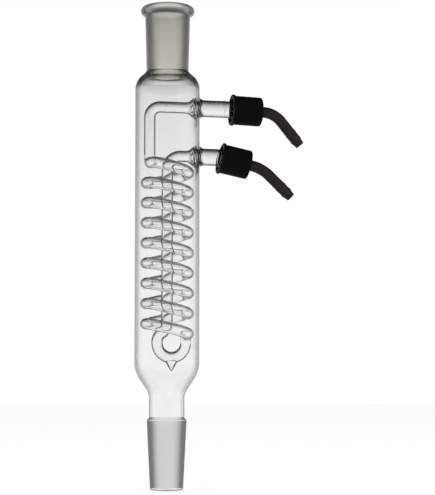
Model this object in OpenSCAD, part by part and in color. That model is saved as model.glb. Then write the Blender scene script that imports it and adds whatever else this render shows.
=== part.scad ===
// Coil reflux condenser of borosilicate glass. Vapour rises through the wide jacket and
// condenses on a coiled water tube that is sealed inside it. The tube enters at the upper
// side arm, winds down as a coil, turns under in a hook with a drip tip, and comes back up
// the middle to the lower side arm. Each arm ends in a screw cap with a bent hose nozzle.
// Millimetres, +Z up the condenser. The origin is the centre of the cone's tip, and the
// side arms point along +X.

/* [Ground joints] */
// Diameter of the ground cone and socket at their wide ends
joint_d = 24; // [20:0.5:29]
// Length of the ground surface of the cone and of the socket
joint_len = 40; // [30:1:50]
// Length over which a ground surface widens by 1 mm
taper_run = 10; // [8:0.5:14]
// Polished length of the cone below its ground surface
cone_tip_len = 1.4; // [1.2:0.1:3]
// Glass thickness at the cone's tip
cone_wall = 2; // [1.6:0.1:2.6]
// How far the stem is set in from the cone's wide end
stem_step = 1.25; // [0.8:0.05:1.8]
// Length of the stem between the cone and the jacket's shoulder
stem_len = 13.5; // [8:0.5:20]
// Glass thickness at the socket's narrow end
socket_wall = 2.85; // [2.3:0.05:3.4]
// Glass thickness just below the socket's rim
socket_top_wall = 1.75; // [1.4:0.05:2.2]
// Section radius of the rolled bead round the socket's rim
bead_r = 3; // [2.6:0.1:3.4]
// How far the bead stands out from the socket
bead_out = 2.65; // [2.2:0.05:2.9]

/* [Jacket] */
// Glass thickness of the jacket
jacket_wall = 1.7; // [1.4:0.1:2.2]
// Gap between the coil and the jacket
coil_gap = 1.7; // [1:0.1:4]
// Glass thickness on the slope of the upper shoulder
shoulder_wall = 2.2; // [1.9:0.1:2.8]
// Slope of the lower shoulder, from the vertical
lower_slope = 34; // [30:1:40]
// Radius where the stem opens into the lower shoulder
lower_cove_r = 9; // [6:0.5:11]
// Radius where the lower shoulder runs into the jacket
lower_round_r = 20; // [14:1:24]
// Slope of the upper shoulder, from the vertical
upper_slope = 48; // [42:1:55]
// Radius where the upper shoulder runs into the socket
upper_cove_r = 3; // [2:0.5:4]
// Radius where the jacket runs into the upper shoulder
upper_round_r = 10; // [8:0.5:11]
// Height of the plain jacket above the upper arm's axis
head_room = 10.5; // [9:0.5:30]

/* [Water tube] */
// Outer diameter of the water tube
tube_d = 7; // [6:0.1:7.6]
// Glass thickness of the water tube
tube_wall = 1; // [0.7:0.1:1.3]
// Radius of the coil at the tube's centre line
coil_r = 12.8; // [12:0.1:15]
// Height of one turn of the coil
coil_pitch = 12.22; // [9:0.01:14]
// Number of full turns in the coil
coil_turns = 8; // [4:1:12]
// Bend radius of the tube where it leaves the upper arm
top_bend_r = 6.5; // [5:0.1:8]
// Distance of the downcoming leg from the axis
leg_offset = 10.9; // [10:0.1:12.8]
// Bend radius where the tube enters and leaves the coil
turn_in_r = 5; // [4.2:0.1:5.6]
// Bend radius of the hook under the coil
hook_r = 9; // [8:0.1:9.6]
// Bend radius of the two bends that bring the tube back to the axis
return_bend_r = 6.5; // [5:0.1:8]
// Bend radius at the top of the centre tube
exit_bend_r = 8.5; // [6:0.1:9]
// Gap between the coil's top turn and the tube to the lower arm
exit_gap = 3.8; // [2:0.1:8]
// Diameter of the drip tip
drip_d = 6.3; // [4.5:0.1:6.5]
// Length of the drip tip below the hook
drip_len = 4.9; // [3:0.1:8]
// Height of the drip tip's point above the foot of the lower shoulder
drip_rise = 16.1; // [15:0.1:25]

/* [Side arms] */
// Height of the upper arm above the lower arm
arm_spacing = 30; // [28:0.5:45]
// Distance from the jacket to the upper cap
upper_arm_len = 20.3; // [12:0.1:30]
// Distance from the jacket to the lower cap
lower_arm_len = 13.2; // [10:0.1:25]
// Length of the upper arm between its seam and the cap
upper_neck = 5; // [1.5:0.1:6]
// Length of the lower arm between its seam and the cap
lower_neck = 1.5; // [1.2:0.1:4]
// Droop of the upper arm's end
upper_droop_angle = 2; // [1:0.5:15]
// Droop of the lower arm's end
lower_droop_angle = 11.8; // [1:0.1:20]
// Outer diameter of the side arms
arm_d = 10.4; // [9.8:0.1:11.4]
// Bore of the side arms
arm_bore = 8; // [7:0.1:8.6]
// Radius where an arm opens into the jacket
arm_cove_r = 3; // [2:0.1:4]
// Diameter of the seal between the water tube and the jacket
ring_seal_d = 12; // [10.5:0.1:13]
// Length over which the water tube opens to its seal
flare_len = 4.5; // [3.5:0.1:5]

/* [Screw connections] */
// Outer diameter of the glass thread
thread_d = 14; // [13.4:0.1:15]
// Height of the thread's ridge
thread_depth = 0.75; // [0.5:0.05:0.9]
// Depth from the cap's open end to the glass mouth
thread_reach = 12.6; // [11:0.1:15]
// Gap between the glass thread and the cap
thread_gap = 0.2; // [0.15:0.05:0.4]
// Thickness of the cap's side wall
cap_wall = 1.75; // [1.3:0.05:2.5]
// Thickness of the cap's end wall
cap_end = 2.5; // [1.5:0.1:3.5]
// How far the lip at the cap's open end stands out
cap_lip_out = 0.7; // [0.4:0.1:1.2]
// Width of the cap's lip
cap_lip_w = 1.6; // [1:0.1:2.5]
// Number of grip ribs round a cap
rib_count = 36; // [24:1:48]
// Height of the grip ribs
rib_depth = 0.35; // [0.2:0.05:0.6]
// Thickness of the seal ring
seal_t = 1.5; // [1:0.1:3]
// Thickness of the nozzle's flange
flange_t = 2; // [1.2:0.1:3]
// Gap between the cap's bore and the pieces that it holds
seat_gap = 0.7; // [0.4:0.05:0.9]

/* [Hose nozzles] */
// Outer diameter of the nozzle
nozzle_d = 6.8; // [6:0.1:7.2]
// Bore of the nozzle
nozzle_bore = 4.2; // [3:0.1:4.4]
// Gap between the nozzle and the hole in the cap
nozzle_gap = 0.4; // [0.3:0.05:0.6]
// Straight length between the cap and the nozzle's bend
nozzle_neck = 2; // [1:0.1:5]
// Length of the nozzle's bend along its centre line
nozzle_bend_len = 12.7; // [10:0.1:18]
// Bend of the upper nozzle
upper_nozzle_angle = 48; // [20:0.5:60]
// Bend of the lower nozzle
lower_nozzle_angle = 31.8; // [20:0.1:60]
// Straight length of the nozzle's barbed tail
tail_len = 19; // [14:0.5:24]
// Distance between the two barbs
barb_step = 5; // [3.5:0.1:6]
// How far a barb stands out
barb_out = 0.25; // [0.1:0.05:0.6]
// Diameter of the nozzle's tip
tip_d = 5; // [4.8:0.1:5.6]

/* [Hidden] */
$fn = 60;

// Rounded edges of the glass and of the mouldings
cone_edge_r = 0.9;
cone_step_r = 1.3;
rim_edge_r = 0.6;
socket_edge_r = 1;
bead_cove_r = 1;
arm_bend_r = 8;
arm_cone_slope = 30;
mouth_edge_r = 0.7;
cap_edge_r = 0.8;
lip_edge_r = 0.4;
drip_point_r = 0.4;
drip_sink = 1;
flare_knee_out = 0.3;
flare_knee_along = 0.55;
seam_out = 0.12;
seam_half = 0.4;
barb_back = 0.35;
barb_sink = 0.3;
seal_hole_gap = 0.4;
boss_depth = 1;
through = 2;
arc_step = 6;

// Radii of the glass
joint_r = joint_d / 2;
joint_tip_r = joint_r - joint_len / taper_run / 2;
stem_r = joint_r - stem_step;
tube_r = tube_d / 2;
tube_bore_r = tube_r - tube_wall;
jacket_in_r = coil_r + tube_r + coil_gap;
jacket_r = jacket_in_r + jacket_wall;
socket_r = joint_tip_r + socket_wall;
socket_top_r = joint_r + socket_top_wall;

// The coil is a chain of half turns, each a half circle in a plane that tilts by coil_tilt
coil_tilt = true_turn(atan(coil_pitch / (4 * coil_r)));
half_turn_r = round(1000 * coil_r / cos(coil_tilt)) / 1000;
coil_line_r = half_turn_r * cos(coil_tilt);
turn_h = 4 * half_turn_r * sin(coil_tilt);

// Heights, from the cone's tip upwards
cone_top_z = cone_tip_len + joint_len;
shoulder_z = cone_top_z + stem_len;
drip_z = shoulder_z + drip_rise;
hook_z = drip_z + drip_len + tube_r + hook_r;
coil_end_z = hook_z + turn_in_r;
lower_turns = floor(coil_turns / 2);
coil_mid_z = coil_end_z + lower_turns * turn_h;
coil_top_z = coil_end_z + coil_turns * turn_h;
lower_arm_z = coil_top_z + tube_d + exit_gap;
upper_arm_z = lower_arm_z + arm_spacing;
jacket_top_z = upper_arm_z + head_room;
socket_in_h = neck_h(joint_tip_r, jacket_in_r, socket_edge_r, upper_round_r - jacket_wall, upper_slope);
ground_z = jacket_top_z + socket_in_h;
ground_top_z = ground_z + joint_len;
top_z = ground_top_z + rim_edge_r;
bead_z = top_z - bead_r;

// Places of the water tube
seal_face_x = jacket_in_r * cos(asin(ring_seal_d / 2 / jacket_in_r)) - boss_depth;
flare_x = seal_face_x - flare_len;
coil_in_z = coil_top_z + (coil_line_r + leg_offset) * tan(coil_tilt) + turn_in_r;
leg_plane_r = leg_offset / cos(coil_tilt);
hook_x = coil_line_r - 2 * hook_r;
hook_side = norm([hook_x, turn_in_r]);
return_angle = acos(1 - hook_side / (2 * return_bend_r));
return_z = hook_z + 2 * return_bend_r * sin(return_angle);
return_roll = atan2(-turn_in_r, -hook_x);

// Places along a side arm, measured from the cap's open end
thread_core_r = thread_d / 2 - thread_depth;
seal_s = thread_reach;
flange_s = seal_s + seal_t;
cap_end_s = flange_s + flange_t;
cap_len = cap_end_s + cap_end;
cap_bore_r = thread_d / 2 + thread_gap;
cap_r = cap_bore_r + cap_wall;
seat_r = cap_bore_r - seat_gap;
nozzle_r = nozzle_d / 2;

// Each arm: height, distance from the jacket to the cap, droop of its end, length of its end
UPPER_ARM = [upper_arm_z, upper_arm_len, upper_droop_angle, upper_neck];
LOWER_ARM = [lower_arm_z, lower_arm_len, lower_droop_angle, lower_neck];

function arm_z(arm) = arm[0];
function arm_droop(arm) = arm[2];

// Tangent length of an arm's bend
function arm_turn(arm) = arm_bend_r * tan(arm_droop(arm) / 2);

// Where the horizontal part of an arm ends and its bend begins, to a thousandth
function arm_bend_x(arm) = round(1000 * (jacket_r + arm[1] - arm[3] - arm_turn(arm))) / 1000;

// Where the straight end of an arm begins, measured outwards from the cap's open end
function arm_end_s(arm) = arm_turn(arm) - arm[3];

GLASS = [0.84, 0.89, 0.9, 0.35];
TUBE_GLASS = [0.74, 0.82, 0.85, 0.6];
BLACK = [0.05, 0.05, 0.06];
SMOKE = [0.2, 0.18, 0.16];
SILICONE = [0.8, 0.77, 0.72];

// How far a turn by angle a misses a true rotation when its matrix is kept to a millionth
function turn_miss(a) =
    abs(norm([round(cos(a) * 1000000), round(sin(a) * 1000000)]) / 1000000 - 1);

// The angle near a at which a turn by it, and by twice as much, misses least
function true_turn(a) =
    let (
        near = [for (i = [-100 : 100]) a + i / 10000],
        misses = [for (b = near) max(turn_miss(b), turn_miss(2 * b))]
    )
    near[search(min(misses), misses)[0]];

// Points of an arc about [x, y], from angle a to angle b
function arc(x, y, r, a, b) =
    let (n = max(2, ceil(abs(b - a) / arc_step)))
    [for (i = [0 : n]) [x + r * cos(a + (b - a) * i / n), y + r * sin(a + (b - a) * i / n)]];

// Straight length of a shoulder that opens from radius r to radius big
function neck_run(r, big, cove, round_r, slope) =
    (big - r - (cove + round_r) * (1 - cos(slope))) / sin(slope);

// Height of that shoulder
function neck_h(r, big, cove, round_r, slope) =
    (cove + round_r) * sin(slope) + neck_run(r, big, cove, round_r, slope) * cos(slope);

// The shoulder's outline: a cove, a straight slope and a rounding, from z upwards
function neck_up(z, r, big, cove, round_r, slope) = concat(
    arc(r + cove, z, cove, 180, 180 - slope),
    arc(big - round_r, z + neck_h(r, big, cove, round_r, slope), round_r, -slope, 0)
);

// The same shoulder turned over, closing upwards from its wide end at z
function neck_down(z, r, big, cove, round_r, slope) = concat(
    arc(big - round_r, z, round_r, 0, slope),
    arc(r + cove, z + neck_h(r, big, cove, round_r, slope), cove, 180 + slope, 180)
);

// Slope at which a cove and a rounding of radius r meet without a straight length
function ogee_slope(step, r) = acos(1 - step / (2 * r));

// Outer face of the jacket, stem, cone and socket as radius and height
function outer_outline() =
    let (
        step_slope = ogee_slope(stem_step, cone_step_r),
        shoulder_top = shoulder_z
            + neck_h(stem_r, jacket_r, lower_cove_r, lower_round_r, lower_slope),
        top_z0 = jacket_top_z + (shoulder_wall - jacket_wall) / sin(upper_slope),
        bead_x = socket_top_r + bead_out - bead_r,
        cove_x = socket_top_r + bead_cove_r,
        cove_angle = acos((cove_x - bead_x) / (bead_r + bead_cove_r)),
        cove_z = bead_z - (bead_r + bead_cove_r) * sin(cove_angle)
    )
    concat(
        [[0, 0]],
        arc(joint_tip_r - cone_edge_r, cone_edge_r, cone_edge_r, -90, 0),
        [[joint_tip_r, cone_tip_len], [joint_r, cone_top_z]],
        neck_down(cone_top_z, stem_r, joint_r, cone_step_r, cone_step_r, step_slope),
        neck_up(shoulder_z, stem_r, jacket_r, lower_cove_r, lower_round_r, lower_slope),
        neck_down(top_z0, socket_r, jacket_r, upper_cove_r, upper_round_r, upper_slope),
        arc(cove_x, cove_z, bead_cove_r, 180, 180 - cove_angle),
        arc(bead_x, bead_z, bead_r, -cove_angle, 90),
        [[0, top_z]]
    );

// Inner face, open at both ends
function inner_outline() =
    let (
        bore_r = joint_tip_r - cone_wall,
        stem_in_r = stem_r - jacket_wall
    )
    concat(
        [[0, -through], [bore_r + cone_edge_r, -through]],
        arc(bore_r + cone_edge_r, cone_edge_r, cone_edge_r, 270, 180),
        [[stem_in_r, cone_top_z]],
        neck_up(
            shoulder_z, stem_in_r, jacket_in_r,
            lower_cove_r + jacket_wall, lower_round_r - jacket_wall, lower_slope
        ),
        neck_down(
            jacket_top_z, joint_tip_r, jacket_in_r,
            socket_edge_r, upper_round_r - jacket_wall, upper_slope
        ),
        arc(joint_r + rim_edge_r, ground_top_z, rim_edge_r, 180, 90),
        [[joint_r + rim_edge_r, top_z + through], [0, top_z + through]]
    );

// A ring in its own plane, or a disc where the bore is 0
module ring(r, bore) {
    difference() {
        circle(r = r);
        if (bore > 0)
            circle(r = bore);
    }
}

// Bend of a tube that starts upwards at the origin and turns towards +X
module bend(r, bore, bend_r, angle) {
    translate([bend_r, 0, 0])
        rotate([90, 0, 180])
            rotate_extrude(angle = angle)
                translate([bend_r, 0])
                    ring(r, bore);
}

// Moves its children to the end of such a bend
module past_bend(bend_r, angle) {
    translate([bend_r * (1 - cos(angle)), 0, bend_r * sin(angle)])
        rotate([0, angle, 0])
            children();
}

// Slight seam where two lengths of tube are joined
module seam(r, bore) {
    translate([0, 0, -seam_half])
        linear_extrude(2 * seam_half)
            ring(r + seam_out, max(0, bore - seam_out));
}

// A tube that follows a list of steps: a straight run, a roll about the tube, the radius and
// angle of a bend, and whether the step ends in a seam. The children stand at its far end.
module tube_along(steps, r, bore, i = 0) {
    if (i == len(steps)) {
        children();
    } else {
        run = steps[i][0];
        roll = steps[i][1];
        bend_r = steps[i][2];
        angle = steps[i][3];
        if (run > 0)
            linear_extrude(run)
                ring(r, bore);
        translate([0, 0, run])
            rotate([0, 0, roll]) {
                if (angle > 0)
                    bend(r, bore, bend_r, angle);
                past_bend(bend_r, angle) {
                    if (steps[i][4])
                        seam(r, bore);
                    tube_along(steps, r, bore, i + 1)
                        children();
                }
            }
    }
}

// Places its children on an arm, at the start of its bend
module on_arm_bend(arm) {
    translate([arm_bend_x(arm), 0, arm_z(arm)])
        rotate([0, 90, 0])
            children();
}

// Places its children on an arm, at the end of its bend
module on_arm_end(arm) {
    on_arm_bend(arm)
        past_bend(arm_bend_r, arm_droop(arm))
            children();
}

// Places its children on an arm, with the cap's open end at their origin and +Z outwards
module on_arm(arm) {
    on_arm_end(arm)
        translate([0, 0, -arm_end_s(arm)])
            children();
}

// A round rod of radius r through an arm's bend, with a seam at each end of it, or one seam
// over both ends of a short bend
module arm_bend_rod(arm, r) {
    on_arm_bend(arm) {
        bend(r, 0, arm_bend_r, arm_droop(arm));
        if (2 * arm_turn(arm) > 3 * seam_half)
            seam(r, 0);
    }
    on_arm_end(arm)
        seam(r, 0);
}

// Outside of an arm: it opens into the jacket, bends down and ends in a plain thread core
module arm_body(arm) {
    arm_r = arm_d / 2;
    cove_x = jacket_r + arm_cove_r;
    cone_x = cove_x - arm_cove_r * sin(arm_cone_slope);
    cone_r = arm_r + arm_cove_r * (1 - cos(arm_cone_slope));
    root_x = jacket_in_r - through;
    root_r = cone_r + (cone_x - root_x) * tan(arm_cone_slope);
    translate([0, 0, arm_z(arm)])
        rotate([0, 90, 0])
            rotate_extrude()
                polygon(concat(
                    [[0, root_x], [root_r, root_x]],
                    arc(arm_r + arm_cove_r, cove_x, arm_cove_r, 180 + arm_cone_slope, 180),
                    [[arm_r, arm_bend_x(arm)], [0, arm_bend_x(arm)]]
                ));
    arm_bend_rod(arm, arm_r);
    on_arm(arm)
        rotate_extrude()
            polygon(concat(
                [[0, arm_end_s(arm)], [arm_r, arm_end_s(arm)]],
                [[arm_r, 0], [thread_core_r, thread_core_r - arm_r]],
                arc(thread_core_r - mouth_edge_r, seal_s - mouth_edge_r, mouth_edge_r, 0, 90),
                [[0, seal_s]]
            ));
}

// Water way through an arm, from the ring seal out past its mouth
module arm_way(arm) {
    bore_r = arm_bore / 2;
    start_x = seal_face_x - through;
    translate([start_x, 0, arm_z(arm)])
        rotate([0, 90, 0])
            cylinder(r = bore_r, h = arm_bend_x(arm) - start_x);
    arm_bend_rod(arm, bore_r);
    on_arm_end(arm)
        cylinder(r = bore_r, h = seal_s - arm_end_s(arm) + through);
}

// Boss inside the jacket wall that the water tube is sealed to
module ring_seal(arm) {
    translate([seal_face_x, 0, arm_z(arm)])
        rotate([0, 90, 0])
            cylinder(r = ring_seal_d / 2, h = jacket_in_r + jacket_wall / 2 - seal_face_x);
}

// Jacket with its cone, socket and both side arms, blown and joined as one piece of glass
module glass_jacket() {
    color(GLASS)
        difference() {
            union() {
                difference() {
                    union() {
                        rotate_extrude()
                            polygon(outer_outline());
                        arm_body(UPPER_ARM);
                        arm_body(LOWER_ARM);
                    }
                    rotate_extrude()
                        polygon(inner_outline());
                }
                ring_seal(UPPER_ARM);
                ring_seal(LOWER_ARM);
            }
            arm_way(UPPER_ARM);
            arm_way(LOWER_ARM);
        }
}

// Trumpet end of the water tube, from its seal face inwards
module tube_flare(z) {
    translate([flare_x, 0, z])
        rotate([0, 90, 0])
            rotate_extrude()
                polygon(concat(
                    flare_edge(tube_r, ring_seal_d / 2),
                    [for (p = [2 : -1 : 0]) flare_edge(tube_bore_r, arm_bore / 2)[p]]
                ));
}

// Edge of the trumpet: a gentle opening up to a knee, then a steeper one
function flare_edge(r, end_r) = [
    [r, 0],
    [r + (end_r - r) * flare_knee_out, flare_len * flare_knee_along],
    [end_r, flare_len]
];

// Steps of the tube from the upper flare to the foot of the leg
leg_route = [
    [flare_x + leg_offset - top_bend_r, 180, top_bend_r, 90, false],
    [upper_arm_z - top_bend_r - coil_in_z, 0, 0, 0, false]
];

// Steps of that many whole turns of the coil
function turn_steps(turns) = [for (i = [1 : 2 * turns]) [0, -2 * coil_tilt, half_turn_r, 180, false]];

// Steps from the foot of the leg round the coil's upper turns
upper_coil_route = concat(
    [
        [0, 90, turn_in_r, 90, false],
        [0, -90 - coil_tilt, half_turn_r - turn_in_r, 90, false],
        [leg_plane_r - half_turn_r + turn_in_r, 0, half_turn_r, 90, false]
    ],
    turn_steps(coil_turns - lower_turns)
);

// Steps round its lower turns and down to the hook
lower_coil_route = concat(turn_steps(lower_turns), [[0, -90 - coil_tilt, turn_in_r, 90, false]]);

// Steps under the coil and back to the axis
hook_route = [
    [0, 0, hook_r, 180, true],
    [0, return_roll, return_bend_r, return_angle, true],
    [0, 180, return_bend_r, return_angle, false]
];

// Steps up the axis and out to the lower flare
centre_route = [
    [lower_arm_z - exit_bend_r - return_z, 0, exit_bend_r, 90, false],
    [flare_x - exit_bend_r, 0, 0, 0, true]
];

// Solid glass tip under the hook, sunk to the middle of the tube's wall
module drip_tip() {
    translate([coil_line_r - hook_r, turn_in_r, drip_z])
        difference() {
            union() {
                cylinder(r1 = drip_point_r, r2 = drip_d / 2, h = drip_len);
                translate([0, 0, drip_len])
                    cylinder(r = drip_d / 2, h = tube_r - drip_sink);
            }
            translate([0, 0, hook_z - drip_z])
                rotate([90, 0, 0])
                    rotate_extrude()
                        translate([hook_r, 0])
                            circle(r = tube_r - tube_wall / 2);
        }
}

// Top of the water tube: from its seal at the upper arm down to the coil
module down_leg() {
    color(TUBE_GLASS) {
        tube_flare(upper_arm_z);
        translate([flare_x, 0, upper_arm_z])
            rotate([0, -90, 0])
                tube_along(leg_route, tube_r, tube_bore_r);
    }
}

// Upper turns of the coil
module upper_coil() {
    color(TUBE_GLASS)
        translate([-leg_offset, 0, coil_in_z])
            rotate([180, 0, 0])
                tube_along(upper_coil_route, tube_r, tube_bore_r);
}

// Lower turns of the coil
module lower_coil() {
    color(TUBE_GLASS)
        translate([coil_line_r, 0, coil_mid_z])
            rotate([-90, 0, 0])
                rotate([0, 0, 180 + coil_tilt])
                    tube_along(lower_coil_route, tube_r, tube_bore_r);
}

// Hook that turns the tube back up under the coil, with its drip tip
module drip_hook() {
    color(TUBE_GLASS) {
        drip_tip();
        translate([coil_line_r, turn_in_r, hook_z])
            rotate([0, 180, 0])
                tube_along(hook_route, tube_r, tube_bore_r);
    }
}

// Tube up the middle of the coil to its seal at the lower arm
module centre_tube() {
    color(TUBE_GLASS) {
        tube_flare(lower_arm_z);
        translate([0, 0, return_z])
            tube_along(centre_route, tube_r, tube_bore_r);
    }
}

// Outline of the cap's ribbed grip
module grip_outline() {
    corners = [[0, 0], [0.25, 1], [0.6, 1], [0.85, 0]];
    polygon([
        for (i = [0 : rib_count - 1], c = corners)
            let (a = 360 * (i + c[0]) / rib_count)
            (cap_r - rib_depth + c[1] * rib_depth) * [cos(a), sin(a)]
    ]);
}

// Screw cap: ribbed skirt with a lip, and an end wall with a hole for the nozzle
module screw_cap() {
    lip_r = cap_r + cap_lip_out;
    difference() {
        union() {
            intersection() {
                linear_extrude(cap_len)
                    grip_outline();
                rotate_extrude()
                    polygon(concat(
                        [[0, 0], [cap_r + cap_lip_out, 0]],
                        arc(cap_r - cap_edge_r, cap_len - cap_edge_r, cap_edge_r, 0, 90),
                        [[0, cap_len]]
                    ));
            }
            rotate_extrude()
                polygon(concat(
                    [[0, 0]],
                    arc(lip_r - lip_edge_r, lip_edge_r, lip_edge_r, -90, 0),
                    arc(lip_r - lip_edge_r, cap_lip_w - lip_edge_r, lip_edge_r, 0, 90),
                    [[0, cap_lip_w]]
                ));
        }
        translate([0, 0, -through])
            cylinder(r = cap_bore_r, h = cap_end_s + through);
        cylinder(r = nozzle_r + nozzle_gap, h = cap_len + through);
    }
}

module upper_cap() {
    color(BLACK)
        on_arm(UPPER_ARM)
            screw_cap();
}

module lower_cap() {
    color(BLACK)
        on_arm(LOWER_ARM)
            screw_cap();
}

// Barbed tail of a nozzle
module nozzle_tail() {
    barb_r = nozzle_r + barb_out;
    first = tail_len - 2 * barb_step + barb_back;
    second = first + barb_step;
    rotate_extrude()
        polygon([
            [nozzle_bore / 2, 0],
            [nozzle_r, 0],
            [nozzle_r, first - 2 * barb_back],
            [nozzle_r - barb_sink, first - barb_back],
            [barb_r, first],
            [nozzle_r - barb_sink, second - barb_back],
            [barb_r, second],
            [tip_d / 2, tail_len],
            [nozzle_bore / 2, tail_len]
        ]);
}

// Hose nozzle: flange inside the cap, bent neck and barbed tail
module hose_nozzle(angle) {
    bend_r = nozzle_bend_len / (angle * PI / 180);
    translate([0, 0, flange_s]) {
        linear_extrude(flange_t)
            ring(seat_r, nozzle_bore / 2);
        translate([0, 0, flange_t])
            tube_along(
                [[cap_end + nozzle_neck, 0, bend_r, angle, true]], nozzle_r, nozzle_bore / 2
            )
                nozzle_tail();
    }
}

module upper_nozzle() {
    color(SMOKE)
        on_arm(UPPER_ARM)
            hose_nozzle(upper_nozzle_angle);
}

module lower_nozzle() {
    color(SMOKE)
        on_arm(LOWER_ARM)
            hose_nozzle(lower_nozzle_angle);
}

// Flat seal ring between the glass mouth and the nozzle's flange
module seal_ring() {
    translate([0, 0, seal_s])
        linear_extrude(seal_t)
            ring(seat_r, nozzle_bore / 2 + seal_hole_gap);
}

module upper_seal() {
    color(SILICONE)
        on_arm(UPPER_ARM)
            seal_ring();
}

module lower_seal() {
    color(SILICONE)
        on_arm(LOWER_ARM)
            seal_ring();
}

glass_jacket();
down_leg();
upper_coil();
lower_coil();
drip_hook();
centre_tube();
upper_cap();
lower_cap();
upper_nozzle();
lower_nozzle();
upper_seal();
lower_seal();
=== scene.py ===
"""Looks of a coil reflux condenser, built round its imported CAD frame.

The glass jacket, the coiled water tube, the screw caps, the hose nozzles and the seal rings
are surfaces worked out with numpy. Each stands for its CAD node and rides on that node's body.
Sizes are in millimetres here and in metres in the meshes.
"""

from __future__ import annotations

import logging
import math
from collections.abc import Callable
from dataclasses import dataclass
from enum import Enum

import bpy
import numpy as np
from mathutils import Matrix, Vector

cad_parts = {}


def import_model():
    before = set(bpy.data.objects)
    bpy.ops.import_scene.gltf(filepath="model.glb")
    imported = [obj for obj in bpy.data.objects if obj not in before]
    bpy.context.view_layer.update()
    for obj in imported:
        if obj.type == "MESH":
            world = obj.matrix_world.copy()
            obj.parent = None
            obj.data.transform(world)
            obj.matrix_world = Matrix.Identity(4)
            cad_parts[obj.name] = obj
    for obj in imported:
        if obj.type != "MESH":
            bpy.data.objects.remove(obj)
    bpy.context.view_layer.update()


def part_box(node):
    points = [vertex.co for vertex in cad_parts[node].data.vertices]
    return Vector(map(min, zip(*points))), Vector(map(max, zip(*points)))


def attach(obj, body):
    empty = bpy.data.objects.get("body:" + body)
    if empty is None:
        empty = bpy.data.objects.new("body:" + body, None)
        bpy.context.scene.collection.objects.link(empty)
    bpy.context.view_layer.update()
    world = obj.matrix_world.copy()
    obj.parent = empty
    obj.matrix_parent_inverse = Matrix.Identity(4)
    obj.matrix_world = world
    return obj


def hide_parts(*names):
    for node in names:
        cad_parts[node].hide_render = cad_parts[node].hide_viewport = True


Array = np.ndarray
MM = 0.001
LOG = logging.getLogger("condenser")
JACKET_R = 19.7
ARM_SPACING = 30.0
LIGHT_BOUNCES = 32
WATER_TUBE_NODES = ("down_leg", "upper_coil", "lower_coil", "drip_hook", "centre_tube")


class Body(Enum):
    """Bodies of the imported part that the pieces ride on."""

    GLASS = "glass"
    UPPER_SEAL = "upper_seal"
    UPPER_CAP = "upper_cap"
    UPPER_NOZZLE = "upper_nozzle"
    LOWER_SEAL = "lower_seal"
    LOWER_CAP = "lower_cap"
    LOWER_NOZZLE = "lower_nozzle"


class Slot(Enum):
    """Material slots of the record."""

    JACKET = "jacket_glass"
    COIL = "coil_glass"
    CAP = "cap_plastic"
    NOZZLE = "nozzle_plastic"
    SEAL = "seal_silicone"


class Zone(Enum):
    """Surface of the jacket: clear outside or inside, ground socket or cone, rim, or side arm."""

    OUTER = 0
    INNER = 1
    SOCKET = 2
    CONE = 3
    RIM = 4
    ARM = 5


class TubeZone(Enum):
    """Surface of the water tube: coil, bore, plain stretches or drip tip."""

    COIL = 0
    BORE = 1
    PLAIN = 2
    TIP = 3


# Profiles and arrays


def arc(x: float, y: float, r: float, a: float, b: float, step: float = 6.0) -> Array:
    """Points of a circle's arc: (x + r cos t, y + r sin t) for t from a to b.

    Args:
        x: First coordinate of the centre.
        y: Second coordinate of the centre.
        r: Radius.
        a: First angle in degrees.
        b: Last angle in degrees.
        step: Largest angle between two points.

    Returns:
        The points, one a row.
    """
    count = max(2, math.ceil(abs(b - a) / step))
    t = np.radians(np.linspace(a, b, count + 1))
    return np.column_stack((x + r * np.cos(t), y + r * np.sin(t)))


def rounded(corners: list[tuple[float, float, float]], step: float = 18.0, flat: float = 89.0) -> Array:
    """Closed outline whose corners are arcs that touch both of their sides.

    A corner of radius r between unit directions u and v to its neighbours has its centre at
    the corner plus r (u + v) / (|u + v| sin h), where h is half the angle between u and v.

    Args:
        corners: Each corner as two coordinates and its radius, 0 for a sharp one.
        step: Largest angle between two points of a corner's arc, in degrees.
        flat: Half of a corner's angle, in degrees, past which its sides are nearly in line.

    Returns:
        The outline's points, one a row.
    """
    points = np.array([c[:2] for c in corners], float)
    out = []
    for i, (x, y, r) in enumerate(corners):
        here = np.array([x, y])
        u, v = points[i - 1] - here, points[(i + 1) % len(points)] - here
        u, v = u / np.linalg.norm(u), v / np.linalg.norm(v)
        half = math.acos(float(np.clip(u @ v, -1, 1))) / 2
        if r <= 0 or half > math.radians(flat):
            out.append(here[None])
            continue
        side = u + v
        centre = here + side / np.linalg.norm(side) * r / math.sin(half)
        first, last = (here + way * r / math.tan(half) - centre for way in (u, v))
        a = math.degrees(math.atan2(first[1], first[0]))
        turn = (math.degrees(math.atan2(last[1], last[0])) - a + 180) % 360 - 180
        out.append(arc(centre[0], centre[1], r, a, a + turn, step))
    return np.vstack(out)


def filled(outline: Array, gap: float) -> Array:
    """Closed outline with points added so that no two are further apart than gap.

    Args:
        outline: Points of a closed outline, one a row.
        gap: Largest distance along the first coordinate or the second.

    Returns:
        The outline with the added points, each on the straight line between its neighbours.
    """
    ends = np.roll(outline, -1, axis=0)
    counts = np.maximum(1, np.ceil(np.abs(ends - outline).max(axis=1) / gap)).astype(int)
    which = np.repeat(np.arange(len(outline)), counts)
    start = np.cumsum(counts) - counts
    share = ((np.arange(counts.sum()) - start[which]) / counts[which])[:, None]
    return outline[which] * (1 - share) + ends[which] * share


def smooth_step(x: Array, low: float, high: float) -> Array:
    """Rises from 0 at low to 1 at high as 3 t^2 - 2 t^3."""
    t = np.clip((x - low) / (high - low), 0, 1)
    return t * t * (3 - 2 * t)


def smooth_max(a: Array, b: Array, width: float) -> Array:
    """Larger of a and b, rounded where they cross: (a + b + sqrt((a - b)^2 + width^2)) / 2."""
    return 0.5 * (a + b + np.sqrt((a - b) ** 2 + width**2))


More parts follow.
